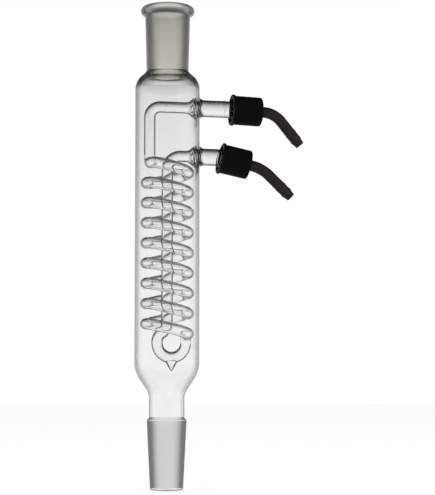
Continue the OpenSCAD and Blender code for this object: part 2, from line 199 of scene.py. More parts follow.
def grid_faces(rows: int, columns: int) -> Array:
    """Four-sided faces of a grid whose rows and columns both close on themselves.

    Args:
        rows: Number of rows.
        columns: Number of columns.

    Returns:
        Indices of each face's corners, with vertex (i, j) at i * columns + j.
    """
    i, j = np.meshgrid(np.arange(rows), np.arange(columns), indexing="ij")
    down, right = (i + 1) % rows, (j + 1) % columns
    quads = (i * columns + j, i * columns + right, down * columns + right, down * columns + j)
    return np.stack(quads, axis=-1).reshape(-1, 4)


def enclosed(points: Array, faces: Array) -> float:
    """Volume inside closed four-sided faces, as a sum of signed tetrahedra from the origin."""
    a, b, c, d = (points[faces[:, k]] for k in range(4))
    return float((np.cross(b - a, c - a) * a + np.cross(c - a, d - a) * a).sum() / 6)


def make_piece(
    name: str,
    points: Array,
    faces: Array,
    finishes: list[bpy.types.Material],
    zones: Array | None = None,
) -> bpy.types.Object:
    """Puts a closed surface into a mesh object with smooth faces that point outwards.

    Args:
        name: Name of the piece.
        points: Vertices in millimetres, one a row.
        faces: Indices of each face's four corners.
        finishes: Materials, in the order of the zones.
        zones: Material index of each face, or None for the first material.

    Returns:
        The object, at the origin.
    """
    if enclosed(points, faces) < 0:
        faces = faces[:, ::-1]
    mesh = bpy.data.meshes.new(name)
    mesh.vertices.add(len(points))
    mesh.vertices.foreach_set("co", (points * MM).astype(np.float32).ravel())
    mesh.loops.add(faces.size)
    mesh.loops.foreach_set("vertex_index", faces.astype(np.int32).ravel())
    mesh.polygons.add(len(faces))
    mesh.polygons.foreach_set("loop_start", np.arange(0, faces.size, faces.shape[1], dtype=np.int32))
    mesh.polygons.foreach_set("use_smooth", np.ones(len(faces), bool))
    for finish in finishes:
        mesh.materials.append(finish)
    if zones is not None:
        mesh.polygons.foreach_set("material_index", zones.astype(np.int32))
    mesh.update(calc_edges=True)
    mesh.validate()
    piece = bpy.data.objects.new(name, mesh)
    bpy.context.scene.collection.objects.link(piece)
    return piece


def stand_in(
    piece: bpy.types.Object, nodes: tuple[str, ...], body: Body
) -> bpy.types.Object:
    """Lets a piece stand for CAD nodes and ride on their body.

    Args:
        piece: The finished piece.
        nodes: CAD nodes that it stands for.
        body: Body that it moves with.

    Returns:
        The same piece.
    """
    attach(piece, body.value)
    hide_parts(*nodes)
    return piece


# Bent tubes


@dataclass
class Step:
    """Step of a bent tube: a straight run, a roll about the tube in degrees, then a bend."""

    run: float
    roll: float = 0.0
    bend_r: float = 0.0
    angle: float = 0.0


class TubeLine:
    """Centre line of a bent tube, with a frame that doesn't twist about it."""

    def __init__(self, start: Array, axes: Array, steps: list[Step]) -> None:
        """Works out the straight and bent stretches of the line.

        A bend of radius R towards unit direction D turns the tangent T: at distance u past
        its start, with a = u / R, the line is at P + R sin(a) T + R (1 - cos(a)) D.

        Args:
            start: First point.
            axes: Columns are the bend direction, the side direction and the tangent.
            steps: Steps of the line.
        """
        toward, tangent = axes[:, 0].astype(float), axes[:, 2].astype(float)
        first, point, length = axes[:, 1].astype(float), np.array(start, float), 0.0
        stretches = []

        def note(radius: float) -> None:
            """Keeps the stretch that begins here, of that bend radius or 0."""
            stretches.append((length, radius, point, tangent, toward, first))

        for step in steps:
            note(0.0)
            point, length = point + step.run * tangent, length + step.run
            c, s = math.cos(math.radians(step.roll)), math.sin(math.radians(step.roll))
            toward = c * toward + s * np.cross(tangent, toward)
            if step.angle:
                note(step.bend_r)
                a = math.radians(step.angle)
                axis = np.cross(tangent, toward)
                point = point + step.bend_r * (math.sin(a) * tangent + (1 - math.cos(a)) * toward)
                length += step.bend_r * a
                turned = math.cos(a) * tangent + math.sin(a) * toward
                away = math.cos(a) * toward - math.sin(a) * tangent
                first = (first @ tangent) * turned + (first @ toward) * away + (first @ axis) * axis
                tangent, toward = turned, away
        note(0.0)
        self.length = length
        values = [np.array(kept) for kept in zip(*stretches)]
        self.marks, self.radii, self.points = values[:3]
        self.tangents, self.towards, self.firsts = values[3:]

    def at(self, s: Array) -> tuple[Array, Array, Array]:
        """Centre and the two cross directions of the line at distances s.

        Args:
            s: Distances along the line, which runs on straight past its ends.

        Returns:
            Centres, first directions and second directions, one a row.
        """
        k = np.clip(np.searchsorted(self.marks, s, side="right") - 1, 0, len(self.marks) - 1)
        u, r = s - self.marks[k], self.radii[k]
        bent = r > 0
        a = np.where(bent, u / np.where(bent, r, 1), 0)[:, None]
        t, d, n = self.tangents[k], self.towards[k], self.firsts[k]
        reach = np.where(bent[:, None], r[:, None] * np.sin(a), u[:, None])
        centre = self.points[k] + reach * t + r[:, None] * (1 - np.cos(a)) * d
        turned, away = np.cos(a) * t + np.sin(a) * d, np.cos(a) * d - np.sin(a) * t
        axis = np.cross(t, d)
        along = (n * t).sum(1)[:, None] * turned + (n * d).sum(1)[:, None] * away
        first = along + (n * axis).sum(1)[:, None] * axis
        return centre, first, np.cross(turned, first)

    def places(self, low: float, high: float, turn: float, gap: float) -> Array:
        """Distances along the line, close together in its bends and wide apart in its runs.

        Args:
            low: First distance.
            high: Last distance.
            turn: Largest angle between two distances in a bend, in degrees.
            gap: Largest gap between two distances in a straight run.

        Returns:
            Rising distances.
        """
        out, ends = [], np.append(self.marks[1:], max(high, self.length))
        for mark, end, radius in zip(self.marks, ends, self.radii):
            a, b = max(mark, low), min(end, high)
            if mark == 0:
                a = low
            if b - a > 1e-6:
                pace = math.radians(turn) * radius if radius else gap
                out.append(np.linspace(a, b, max(1, math.ceil((b - a) / pace)), endpoint=False))
        return np.append(np.concatenate(out), high)


def round_line(line: TubeLine, s: Array, r: Array, angles: Array) -> Array:
    """Surface round a line: centre(s) + r (cos a first(s) + sin a second(s)).

    Args:
        line: The centre line.
        s: Distance along the line of each row.
        r: Radius of each row, or of each row and column.
        angles: Angle of each column in radians.

    Returns:
        Points, row after row.
    """
    centre, first, second = line.at(s)
    reach = (r if r.ndim == 2 else r[:, None])[..., None]
    c, s = np.cos(angles)[None, :, None], np.sin(angles)[None, :, None]
    side = c * first[:, None] + s * second[:, None]
    return (centre[:, None] + reach * side).reshape(-1, 3)


def full_turn(columns: int) -> Array:
    """Angles of evenly spaced columns round a tube, in radians."""
    return np.arange(columns) * 2 * np.pi / columns


# Finishes


class Nodes:
    """Small helper that adds and links a material's nodes."""

    def __init__(self, tree: bpy.types.NodeTree) -> None:
        """Keeps the node tree that it works in."""
        self.tree = tree

    def add(self, kind: str, **values: object) -> bpy.types.Node:
        """Adds a node and sets its inputs by name.

        Args:
            kind: Node type.
            **values: Input names, with underscores for spaces, and their values.

        Returns:
            The node.
        """
        node = self.tree.nodes.new(kind)
        for key, value in values.items():
            node.inputs[key.replace("_", " ")].default_value = value
        return node

    def join(self, start: bpy.types.NodeSocket, end: bpy.types.NodeSocket) -> None:
        """Links an output to an input."""
        self.tree.links.new(start, end)


class SurfaceGrain:
    """Shader node group: fine unevenness that changes roughness and height over a surface."""

    NAME = "surface_grain"

    def tree(self) -> bpy.types.NodeTree:
        """Builds the group once.

        Returns:
            The group, with inputs Scale, Roughness and Spread and outputs Height and Roughness.
        """
        if self.NAME in bpy.data.node_groups:
            return bpy.data.node_groups[self.NAME]
        tree = bpy.data.node_groups.new(self.NAME, "ShaderNodeTree")
        for label, value in (("Scale", 400.0), ("Roughness", 0.4), ("Spread", 0.1)):
            socket = tree.interface.new_socket(label, in_out="INPUT", socket_type="NodeSocketFloat")
            socket.default_value = value
        for label in ("Height", "Roughness"):
            tree.interface.new_socket(label, in_out="OUTPUT", socket_type="NodeSocketFloat")
        n = Nodes(tree)
        given, out = n.add("NodeGroupInput"), n.add("NodeGroupOutput")
        place = n.add("ShaderNodeTexCoord")
        noise = n.add("ShaderNodeTexNoise", Detail=3.0)
        n.join(place.outputs["Object"], noise.inputs["Vector"])
        n.join(given.outputs["Scale"], noise.inputs["Scale"])
        centred = n.add("ShaderNodeMath")
        centred.operation = "SUBTRACT"
        centred.inputs[1].default_value = 0.5
        n.join(noise.outputs["Fac"], centred.inputs[0])
        spread = n.add("ShaderNodeMath")
        spread.operation = "MULTIPLY_ADD"
        n.join(centred.outputs[0], spread.inputs[0])
        n.join(given.outputs["Spread"], spread.inputs[1])
        n.join(given.outputs["Roughness"], spread.inputs[2])
        n.join(noise.outputs["Fac"], out.inputs["Height"])
        n.join(spread.outputs[0], out.inputs["Roughness"])
        return tree


@dataclass(frozen=True)
class Finish:
    """Finish of one kind of surface: its colour, and the painted shade that darkens it where it is seen
    edge on.
    """

    name: str
    colour: tuple[float, float, float]
    # Dark colour painted towards grazing edges as shade, and the facing range over which it comes in
    painted_edge_shade: tuple[float, float, float] | None = None
    edge_shade_from: float = 0.5
    edge_shade_to: float = 0.9
    roughness: float = 0.4
    spread: float = 0.1
    grain: float = 400.0
    bump: float = 0.1
    bump_height: float = 0.02
    ior: float = 1.5
    transmission: float = 0.0
    specular: float = 0.5
    # Grey of the Specular Tint; below 1 it is painted shade that darkens the reflections
    shaded_reflection: float = 1.0

    def material(self) -> bpy.types.Material:
        """Builds the material: an even colour that may take a painted shade towards grazing edges.

        Returns:
            The material, made once for each finish.
        """
        if self.name in bpy.data.materials:
            return bpy.data.materials[self.name]
        made = bpy.data.materials.new(self.name)
        made.use_nodes = True
        made.node_tree.nodes.clear()
        n = Nodes(made.node_tree)
        shader = n.add(
            "ShaderNodeBsdfPrincipled",
            Base_Color=(*self.colour, 1),
            Roughness=self.roughness,
            IOR=self.ior,
            Transmission_Weight=self.transmission,
            Specular_IOR_Level=self.specular,
            # Painted shade: a grey Specular Tint darkens what the surface reflects
            Specular_Tint=(self.shaded_reflection, self.shaded_reflection, self.shaded_reflection, 1),
        )
        out = n.add("ShaderNodeOutputMaterial")
        n.join(shader.outputs["BSDF"], out.inputs["Surface"])
        grain = n.add("ShaderNodeGroup")
        grain.node_tree = SurfaceGrain().tree()
        grain.inputs["Scale"].default_value = self.grain
        if self.spread:
            grain.inputs["Roughness"].default_value = self.roughness
            grain.inputs["Spread"].default_value = self.spread
            n.join(grain.outputs["Roughness"], shader.inputs["Roughness"])
        bump = n.add("ShaderNodeBump", Strength=self.bump, Distance=self.bump_height * MM)
        n.join(grain.outputs["Height"], bump.inputs["Height"])
        n.join(bump.outputs["Normal"], shader.inputs["Normal"])
        # Painted shade: Layer Weight's Facing mixes the base colour towards a dark colour at grazing
        # edges, standing in for shade seen at a surface's edges
        if self.painted_edge_shade is not None:
            facing = n.add("ShaderNodeLayerWeight", Blend=0.5)
            ramp = n.add("ShaderNodeMapRange")
            ramp.interpolation_type = "SMOOTHSTEP"
            ramp.inputs["From Min"].default_value = self.edge_shade_from
            ramp.inputs["From Max"].default_value = self.edge_shade_to
            n.join(facing.outputs["Facing"], ramp.inputs["Value"])
            mix = n.add("ShaderNodeMix")
            mix.data_type = "RGBA"
            # A Mix node that works on colours takes its factor at 0 and its colours at 6 and 7
            factor, colour_a, colour_b = (mix.inputs[k] for k in (0, 6, 7))
            colour_a.default_value, colour_b.default_value = (*self.colour, 1), (*self.painted_edge_shade, 1)
            n.join(ramp.outputs["Result"], factor)
            n.join(mix.outputs[2], shader.inputs["Base Color"])
        return made


@dataclass(frozen=True)
class ClearGlass(Finish):
    """Finish of clear glass, smooth and a little uneven, with painted shade at its edges and its
    reflections darkened by painted shade.
    """

    roughness: float = 0.0
    spread: float = 0.0
    grain: float = 60.0
    bump: float = 0.03
    bump_height: float = 0.05
    ior: float = 1.474
    transmission: float = 1.0
    shaded_reflection: float = 0.35


@dataclass(frozen=True)
class GroundGlass(ClearGlass):
    """Finish of a ground joint: satin glass with a fine grain."""

    roughness: float = 0.42
    spread: float = 0.08
    grain: float = 2600.0
    bump: float = 0.25
    bump_height: float = 0.03


@dataclass(frozen=True)
class TubeGlass(ClearGlass):
    """Finish of the thin drawn glass of the water tube."""

    grain: float = 90.0
    bump_height: float = 0.04
    shaded_reflection: float = 0.15


# Painted shade: the jacket's grey tint of 0.93 a surface is partly the glass's own and partly painted
# shade for its dimmer inside. These clear glasses darken to a dark colour at grazing edges as painted
# shade; the arms take darker, wider painted edges than the jacket, and the rim is a darker grey with
# painted dark edges.
JACKET_OUTSIDE = ClearGlass("jacket_outside_glass", (0.93, 0.932, 0.925), (0.06, 0.06, 0.06), 0.3, 0.76)
JACKET_INSIDE = ClearGlass("jacket_inside_glass", (0.94, 0.942, 0.935), (0.2, 0.2, 0.2), 0.6, 0.95)
ARM_OUTSIDE = ClearGlass(
    "arm_outside_glass", (0.93, 0.932, 0.925), (0.004, 0.004, 0.004), 0.22, 0.55, shaded_reflection=0.2
)
RIM_OUTSIDE = ClearGlass(
    "rim_outside_glass", (0.72, 0.715, 0.68), (0.1, 0.099, 0.093), 0.16, 0.5,
    roughness=0.12, spread=0.05, grain=200,
)
# Painted shade: the ground socket and cone are greyed and darken towards their edges, standing in for the
# dim surroundings that their satin glass would scatter
SOCKET_SATIN = GroundGlass("ground_socket_satin", (0.9, 0.886, 0.832), (0.15, 0.148, 0.138), 0.06, 0.6)
CONE_SATIN = GroundGlass("ground_cone_satin", (0.74, 0.735, 0.72), (0.11, 0.109, 0.106), 0.03, 0.42)
# Painted shade: the water tube's glass darkens to near black at grazing edges, and its bore to a dark grey
COIL_OUTSIDE = TubeGlass(
    "coil_outside_glass", (0.95, 0.952, 0.95), (0.0015, 0.0015, 0.0015), 0.54, 0.69, shaded_reflection=0.25
)
PLAIN_OUTSIDE = TubeGlass(
    "plain_tube_outside_glass", (0.95, 0.952, 0.95), (0.0015, 0.0015, 0.0015), 0.25, 0.46
)
TIP_OUTSIDE = TubeGlass("drip_tip_glass", (0.97, 0.972, 0.97), (0.002, 0.002, 0.002), 0.16, 0.44, ior=1.12)
TUBE_BORE = TubeGlass("tube_bore_glass", (0.98, 0.98, 0.98), (0.06, 0.06, 0.06), 0.6, 0.9, shaded_reflection=0.25)
CAP_BLACK = Finish(
    "cap_black_plastic", (0.0022, 0.0022, 0.003),
    roughness=0.42, spread=0.1, grain=1500, bump=0.12, bump_height=0.02, specular=0.045,
)
# Painted shade: the smoky plastic darkens to near black at grazing edges
NOZZLE_SMOKE = Finish(
    "nozzle_smoke_plastic", (0.017, 0.0135, 0.0105), (0.0015, 0.0015, 0.0015), 0.3, 0.8,
    roughness=0.26, spread=0.08, grain=700, bump=0.08, bump_height=0.02, specular=0.1,
)
SEAL_SILICONE = Finish(
    "seal_silicone", (0.62, 0.58, 0.5),
    roughness=0.5, spread=0.1, grain=900, bump=0.1, bump_height=0.02, specular=0.4,
)
JACKET_FINISHES = {
    Zone.OUTER: JACKET_OUTSIDE,
    Zone.INNER: JACKET_INSIDE,
    Zone.SOCKET: SOCKET_SATIN,
    Zone.CONE: CONE_SATIN,
    Zone.RIM: RIM_OUTSIDE,
    Zone.ARM: ARM_OUTSIDE,
}
TUBE_FINISHES = {
    TubeZone.COIL: COIL_OUTSIDE,
    TubeZone.BORE: TUBE_BORE,
    TubeZone.PLAIN: PLAIN_OUTSIDE,
    TubeZone.TIP: TIP_OUTSIDE,
}


# Sizes that the glass pieces share


def neck_height(r: float, big: float, cove: float, round_r: float, slope: float) -> float:
    """Height of a shoulder of a cove, a straight slope and a rounding.

    Args:
        r: Small radius of the shoulder.
        big: Large radius of the shoulder.
        cove: Radius of the cove at the small end.
        round_r: Radius of the rounding at the large end.
        slope: Slope from the vertical in degrees.

    Returns:
        The height between the shoulder's two ends.
    """
    a = math.radians(slope)
    run = (big - r - (cove + round_r) * (1 - math.cos(a))) / math.sin(a)
    return (cove + round_r) * math.sin(a) + run * math.cos(a)


@dataclass(frozen=True)
class CoilSizes:
    """Real sizes of the water tube, in millimetres, and what follows from them."""

    tube_r: float = 3.5
    bore_r: float = 2.5
    line_r: float = 12.8
    pitch: float = 12.2288
    turns: int = 8
    top_bend_r: float = 6.5
    leg_offset: float = 10.9
    turn_in_r: float = 5.0
    hook_r: float = 9.0
    return_bend_r: float = 6.5
    exit_bend_r: float = 8.5
    exit_gap: float = 3.8
    drip_r: float = 3.15
    drip_len: float = 4.9
    drip_z: float = 71.0
    flare_len: float = 4.5
    seal_r: float = 6.0
    seal_bore_r: float = 4.0
    seal_face_x: float = 15.97

    @property
    def tilt(self) -> float:
        """Tilt of the coil's half turns in degrees: tan(tilt) = pitch / (4 line_r)."""
        return math.degrees(math.atan(self.pitch / (4 * self.line_r)))

    @property
    def half_turn_r(self) -> float:
        """Radius of a half turn in its own tilted plane."""
        return self.line_r / math.cos(math.radians(self.tilt))

    @property
    def hook_z(self) -> float:
        """Height of the hook's two ends."""
        return self.drip_z + self.drip_len + self.tube_r + self.hook_r

    @property
    def top_z(self) -> float:
        """Height of the tube's line at the top of the coil's turns."""
        return self.hook_z + self.turn_in_r + self.turns * self.pitch


@dataclass(frozen=True)
class ArmPlan:
    """Sizes of a side arm with its cap and nozzle: lengths in millimetres, bends in degrees."""

    z: float
    reach: float
    droop: float
    neck: float
    nozzle_bend: float
    bend_r: float = 8.0
    body_r: float = 5.2
    bore_r: float = 4.0
    thread_reach: float = 12.6
    cap_len: float = 18.6
    nozzle_neck: float = 2.0
    nozzle_bend_len: float = 12.7
    tail_len: float = 19.0

    @property
    def bend_x(self) -> float:
        """Distance from the axis to the start of the arm's bend."""
        return JACKET_R + self.reach - self.neck - self.bend_r * math.tan(math.radians(self.droop / 2))

    @property
    def seam_s(self) -> float:
        """Distance along the line to the seam at the end of the arm's bend."""
        return self.bend_x + self.bend_r * math.radians(self.droop)

    @property
    def cap_s(self) -> float:
        """Distance along the line to the cap's open end."""
        return self.seam_s + self.neck - self.bend_r * math.tan(math.radians(self.droop / 2))

    @property
    def tip_s(self) -> float:
        """Distance along the line to the nozzle's tip."""
        return self.cap_s + self.cap_len + self.nozzle_neck + self.nozzle_bend_len + self.tail_len

    def line(self) -> TubeLine:
        """Line from the condenser's axis out through the arm, the cap and the nozzle.

        Returns:
            The line, which starts on the axis at the arm's height.
        """
        axes = np.array([[0, 0, 1], [0, 1, 0], [-1, 0, 0]], float)
        bend_r = self.nozzle_bend_len / math.radians(self.nozzle_bend)
        straight = self.cap_s - self.seam_s + self.cap_len + self.nozzle_neck
        steps = [
            Step(self.bend_x, 0, self.bend_r, self.droop),
            Step(straight, 0, bend_r, self.nozzle_bend),
            Step(self.tail_len),
        ]
        return TubeLine(np.array([0, 0, self.z]), axes, steps)


# Sub-assemblies


@dataclass
class GlassJacket:
    """Jacket with its ground cone and socket and both side arms, one piece of glass."""

    arms: tuple[ArmPlan, ArmPlan]
    top_z: float
    coil: CoilSizes
    joint_r: float = 12.0
    joint_len: float = 40.0
    joint_tip_r: float = 10.0
    tip_len: float = 1.4
    tip_bore_r: float = 8.0
    tip_edge_r: float = 0.9
    stem_step: float = 1.25
    step_r: float = 1.3
    stem_len: float = 13.5
    socket_wall: float = 2.85
    socket_top_wall: float = 1.75
    bead_r: float = 3.0
    bead_out: float = 2.65
    bead_cove_r: float = 1.0
    rim_edge_r: float = 0.6
    socket_edge_r: float = 1.0
    wall: float = 1.7
    outer_r: float = JACKET_R
    shoulder_wall: float = 2.2
    lower_slope: float = 34.0
    lower_cove_r: float = 9.0
    lower_round_r: float = 20.0
    upper_slope: float = 48.0
    upper_cove_r: float = 3.0
    upper_round_r: float = 10.0
    arm_cove_r: float = 3.0
    arm_slope: float = 30.0
    arm_blend: float = 0.7
    arm_root: float = 0.6
    seam_half: float = 0.5
    seam_swell: tuple[float, ...] = (0.0, 0.12, 0.17, 0.12, 0.0)
    thread_core_r: float = 6.25
    thread_depth: float = 0.7
    thread_pitch: float = 2.5
    thread_step: float = 1.2
    thread_fade: float = 1.6
    thread_clear: float = 1.4
    thread_gap: float = 0.16
    ridge_foot: float = 0.25
    ridge_top: float = 0.85
    mouth_edge_r: float = 0.7
    mouth_bore_edge_r: float = 0.5
    boss_edge_r: float = 0.4
    boss_bore_edge_r: float = 0.3
    boss_shares: tuple[float, ...] = (0.15, 0.5, 0.8)
    boss_fillet: float = 0.13
    boss_foot: tuple[float, float] = (1.02, 1.07)
    rim_below: float = 1.0
    straight_from: float = 3.0
    straight_to: float = 0.5
    ground_rows: int = 14
    row_gap: float = 8.0
    columns: int = 96
    hole_columns: int = 7
    hole_rows: int = 12
    hole_half: float = 8.7
    flare_rings: int = 12
    cove_rings: int = 6

    @property
    def inner_r(self) -> float:
        """Inner radius of the jacket."""
        return self.outer_r - self.wall

    def levels(self, low: float, high: float) -> Array:
        """Heights of the rows along the straight jacket, with even rows round each arm.

        Args:
            low: First height.
            high: Last height.

        Returns:
            Rising heights.
        """
        stops = [low]
        for arm in sorted(self.arms, key=lambda a: a.z):
            stops += [arm.z - self.hole_half, arm.z + self.hole_half]
        stops.append(high)
        parts = []
        for k, (a, b) in enumerate(zip(stops, stops[1:])):
            count = self.hole_rows if k % 2 else max(2, math.ceil((b - a) / self.row_gap))
            parts.append(np.linspace(a, b, count, endpoint=False))
        return np.append(np.concatenate(parts), high)

    def profile(self) -> tuple[Array, Array, Array]:
        """Closed outline of the body as radius and height, up the outside and down the inside.

        Returns:
            The outline, the zone of each side, and the heights that the straight jacket's
            outer and inner rows share.
        """
        outside, inside = Zone.OUTER.value, Zone.INNER.value
        down, up = self.lower_slope, self.upper_slope
        stem_r = self.joint_r - self.stem_step
        stem_in_r = stem_r - self.wall
        cone_top = self.tip_len + self.joint_len
        shoulder = cone_top + self.stem_len
        cove_in, round_in = self.lower_cove_r + self.wall, self.lower_round_r - self.wall
        low_h = neck_height(stem_r, self.outer_r, self.lower_cove_r, self.lower_round_r, down)
        low_in = neck_height(stem_in_r, self.inner_r, cove_in, round_in, down)
        step = math.degrees(math.acos(1 - self.stem_step / (2 * self.step_r)))
        step_h = 2 * self.step_r * math.sin(math.radians(step))
        ground_top = self.top_z - self.rim_edge_r
        ground_z = ground_top - self.joint_len
        top_round_in = self.upper_round_r - self.wall
        top_in = neck_height(self.joint_tip_r, self.inner_r, self.socket_edge_r, top_round_in, up)
        jacket_top = ground_z - top_in
        top_z = jacket_top + (self.shoulder_wall - self.wall) / math.sin(math.radians(up))
        socket_r = self.joint_tip_r + self.socket_wall
        top_h = neck_height(socket_r, self.outer_r, self.upper_cove_r, self.upper_round_r, up)
        socket_top_r = self.joint_r + self.socket_top_wall
        bead_x, bead_z = socket_top_r + self.bead_out - self.bead_r, self.top_z - self.bead_r
        cove_x, both = socket_top_r + self.bead_cove_r, self.bead_r + self.bead_cove_r
        cove = math.degrees(math.acos((cove_x - bead_x) / both))
        cove_z = bead_z - both * math.sin(math.radians(cove))
        straight_from = shoulder + max(low_h, low_in) + self.straight_from
        heights = self.levels(straight_from, jacket_top - self.straight_to)
        edge, socket_edge, rows = self.tip_edge_r, self.socket_edge_r, len(heights)
        outer = [
            (arc(self.joint_tip_r - edge, edge, edge, -90, 0, 12), outside),
            (np.linspace((self.joint_tip_r, self.tip_len), (self.joint_r, cone_top), self.ground_rows),
             Zone.CONE.value),
            (arc(self.joint_r - self.step_r, cone_top, self.step_r, 0, step)[1:], outside),
            (arc(stem_r + self.step_r, cone_top + step_h, self.step_r, 180 + step, 180), outside),
            (arc(stem_r + self.lower_cove_r, shoulder, self.lower_cove_r, 180, 180 - down, 3), outside),
            (arc(self.outer_r - self.lower_round_r, shoulder + low_h, self.lower_round_r, -down, 0, 3),
             outside),
            (np.column_stack((np.full(rows, self.outer_r), heights)), outside),
            (arc(self.outer_r - self.upper_round_r, top_z, self.upper_round_r, 0, up, 4), outside),
            (arc(socket_r + self.upper_cove_r, top_z + top_h, self.upper_cove_r, 180 + up, 180, 8),
             outside),
            (arc(cove_x, cove_z, self.bead_cove_r, 180, 180 - cove, 15), outside),
            (arc(bead_x, bead_z, self.bead_r, -cove, 90, 6)[1:], outside),
        ]
        inner = [
            (arc(self.joint_r + self.rim_edge_r, ground_top, self.rim_edge_r, 90, 180, 15), inside),
            (np.linspace((self.joint_r, ground_top), (self.joint_tip_r, ground_z), self.ground_rows)[1:],
             Zone.SOCKET.value),
            (arc(self.joint_tip_r + socket_edge, ground_z, socket_edge, 180, 180 + up, 12)[1:], inside),
            (arc(self.inner_r - top_round_in, jacket_top, top_round_in, up, 0, 4), inside),
            (np.column_stack((np.full(rows, self.inner_r), heights[::-1])), inside),
            (arc(self.inner_r - round_in, shoulder + low_in, round_in, 0, -down, 3), inside),
            (arc(stem_in_r + cove_in, shoulder, cove_in, 180 - down, 180, 3), inside),
            (np.linspace((stem_in_r, cone_top), (self.tip_bore_r, edge), 8), inside),
            (arc(self.tip_bore_r + edge, edge, edge, 180, 270, 12)[1:], inside),
        ]
        points = np.vstack([p for p, _ in outer + inner])
        ends = [(p, z, outside) for p, z in outer] + [(p, z, inside) for p, z in inner]
        zones = np.concatenate([np.r_[np.full(len(p) - 1, z), end] for p, z, end in ends])
        outer_count = sum(len(p) for p, _ in outer)
        zones[:outer_count][points[:outer_count, 1] > ground_z - self.rim_below] = Zone.RIM.value
        zones[outer_count + len(inner[0][0]) - 1] = Zone.SOCKET.value
        return points, zones, heights

    def cove_radius(self, angle: Array) -> Array:
        """Radius of an arm's cove where its surface stands at an angle to the arm, in radians."""
        return self.arms[0].body_r + self.arm_cove_r * (1 - np.cos(angle))

    def flare_x(self, flat: Array) -> Array:
        """Outer surface where an arm opens into the jacket, as distance from the axis.

        It is the smooth larger one of the jacket, sqrt(R^2 - y^2), and the arm's flare: a
        cove of the arm's radius that runs into a cone.

        Args:
            flat: Sideways place y and height above the arm's line, along the last axis.

        Returns:
            Distance along the arm.
        """
        cove, r, a = self.arm_cove_r, self.arms[0].body_r, math.radians(self.arm_slope)
        y, rho = flat[..., 0], np.hypot(flat[..., 0], flat[..., 1])
        cone_r = self.cove_radius(a)
        cone_x = self.outer_r + cove - cove * math.sin(a)
        bent = self.outer_r + cove - np.sqrt(np.maximum(cove**2 - (r + cove - rho) ** 2, 0))
        straight = cone_x - (rho - cone_r) / math.tan(a)
        flare = np.where(rho < cone_r, bent, straight)
        return smooth_max(np.sqrt(self.outer_r**2 - y**2), flare, self.arm_blend)

    def inside_x(self, flat: Array) -> Array:
        """Inner surface of the jacket as distance from the axis: sqrt(r^2 - y^2)."""
        return np.sqrt(self.inner_r**2 - flat[..., 0] ** 2)

    def arm_rings(self, arm: ArmPlan, outer_loop: Array, inner_loop: Array) -> Array:
        """Rings of vertices from the jacket's outside, along the arm, and back through its bore.

        Args:
            arm: The arm.
            outer_loop: Points round the hole in the jacket's outer surface.
            inner_loop: Points round the hole in its inner surface.

        Returns:
            Rings of points, each with a point for every point of the loops.
        """
        across, above = outer_loop[:, 1], outer_loop[:, 2] - arm.z
        phi = np.arctan2(above, across)
        ring = np.column_stack((np.cos(phi), np.sin(phi)))

        def laid(flat: Array, surface: Callable[[Array], Array]) -> Array:
            """Rings of the arm's cross plane, laid on a surface round the condenser's axis."""
            return np.concatenate((surface(flat)[..., None], flat), axis=-1) + (0, 0, arm.z)

        def between(start: Array, end: Array, shares: Array) -> Array:
            """Rings that go from one outline to another: start (1 - t) + end t."""
            return start * (1 - shares[:, None, None]) + end * shares[:, None, None]

        slope = math.radians(self.arm_slope)
        hole, cone = np.column_stack((across, above)), self.cove_radius(slope) * ring
        flare = between(hole, cone, np.linspace(0, 1, self.flare_rings + 1)[1:])
        cove = self.cove_radius(np.linspace(slope, 0, self.cove_rings + 1)[1:])[:, None, None] * ring
        s, r = self.arm_profile(arm)
        swell = self.thread_depth * self.thread(arm, s, r, phi)
        tube = round_line(arm.line(), s, r[:, None] + swell, phi).reshape(len(s), -1, 3)
        inside = np.column_stack((inner_loop[:, 1], inner_loop[:, 2] - arm.z))
        start, first = self.coil.seal_r * ring, self.coil.seal_face_x + self.boss_edge_r
        wall = laid(start[None], self.inside_x)
        shares, feet = np.array(self.boss_shares)[:, None], self.boss_foot
        boss = np.repeat(wall, len(shares), axis=0)
        boss[..., 0] = first + (wall[..., 0] - self.boss_edge_r - first) * shares
        foot = np.column_stack((wall[0, :, 0] - self.boss_fillet, start * feet[0])) + (0, 0, arm.z)
        back = between(start * feet[1], inside, np.linspace(0, 1, 8)[:-1])
        rings = [laid(np.concatenate((flare, cove)), self.flare_x), tube, boss, foot[None]]
        return np.concatenate([*rings, laid(back, self.inside_x)])

    def thread(self, arm: ArmPlan, s: Array, r: Array, phi: Array) -> Array:
        """Height of the glass thread as a share of its depth, 0 off the thread.

        At angle phi the ridge's middle lies where (s - cap_s) / pitch - phi / (2 pi) is half
        past a whole number. The ridge fades in and out at the thread's two ends.

        Args:
            arm: The arm.
            s: Distances along the arm's line.
            r: Radius at each distance, which tells the thread's core from the bore.
            phi: Angles round the arm in radians.

        Returns:
            The share for each distance and angle.
        """
        wave = np.mod((s[:, None] - arm.cap_s) / self.thread_pitch - phi / (2 * np.pi), 1)
        ridge = smooth_step(1 - np.abs(2 * wave - 1), self.ridge_foot, self.ridge_top)
        low, high = arm.cap_s + self.thread_fade, arm.cap_s + arm.thread_reach - self.thread_clear
        near = smooth_step(s, low, low + self.thread_fade)
        near = near * (1 - smooth_step(s, high - self.thread_fade, high))
        return np.where(r > self.thread_core_r - 0.01, near, 0)[:, None] * ridge

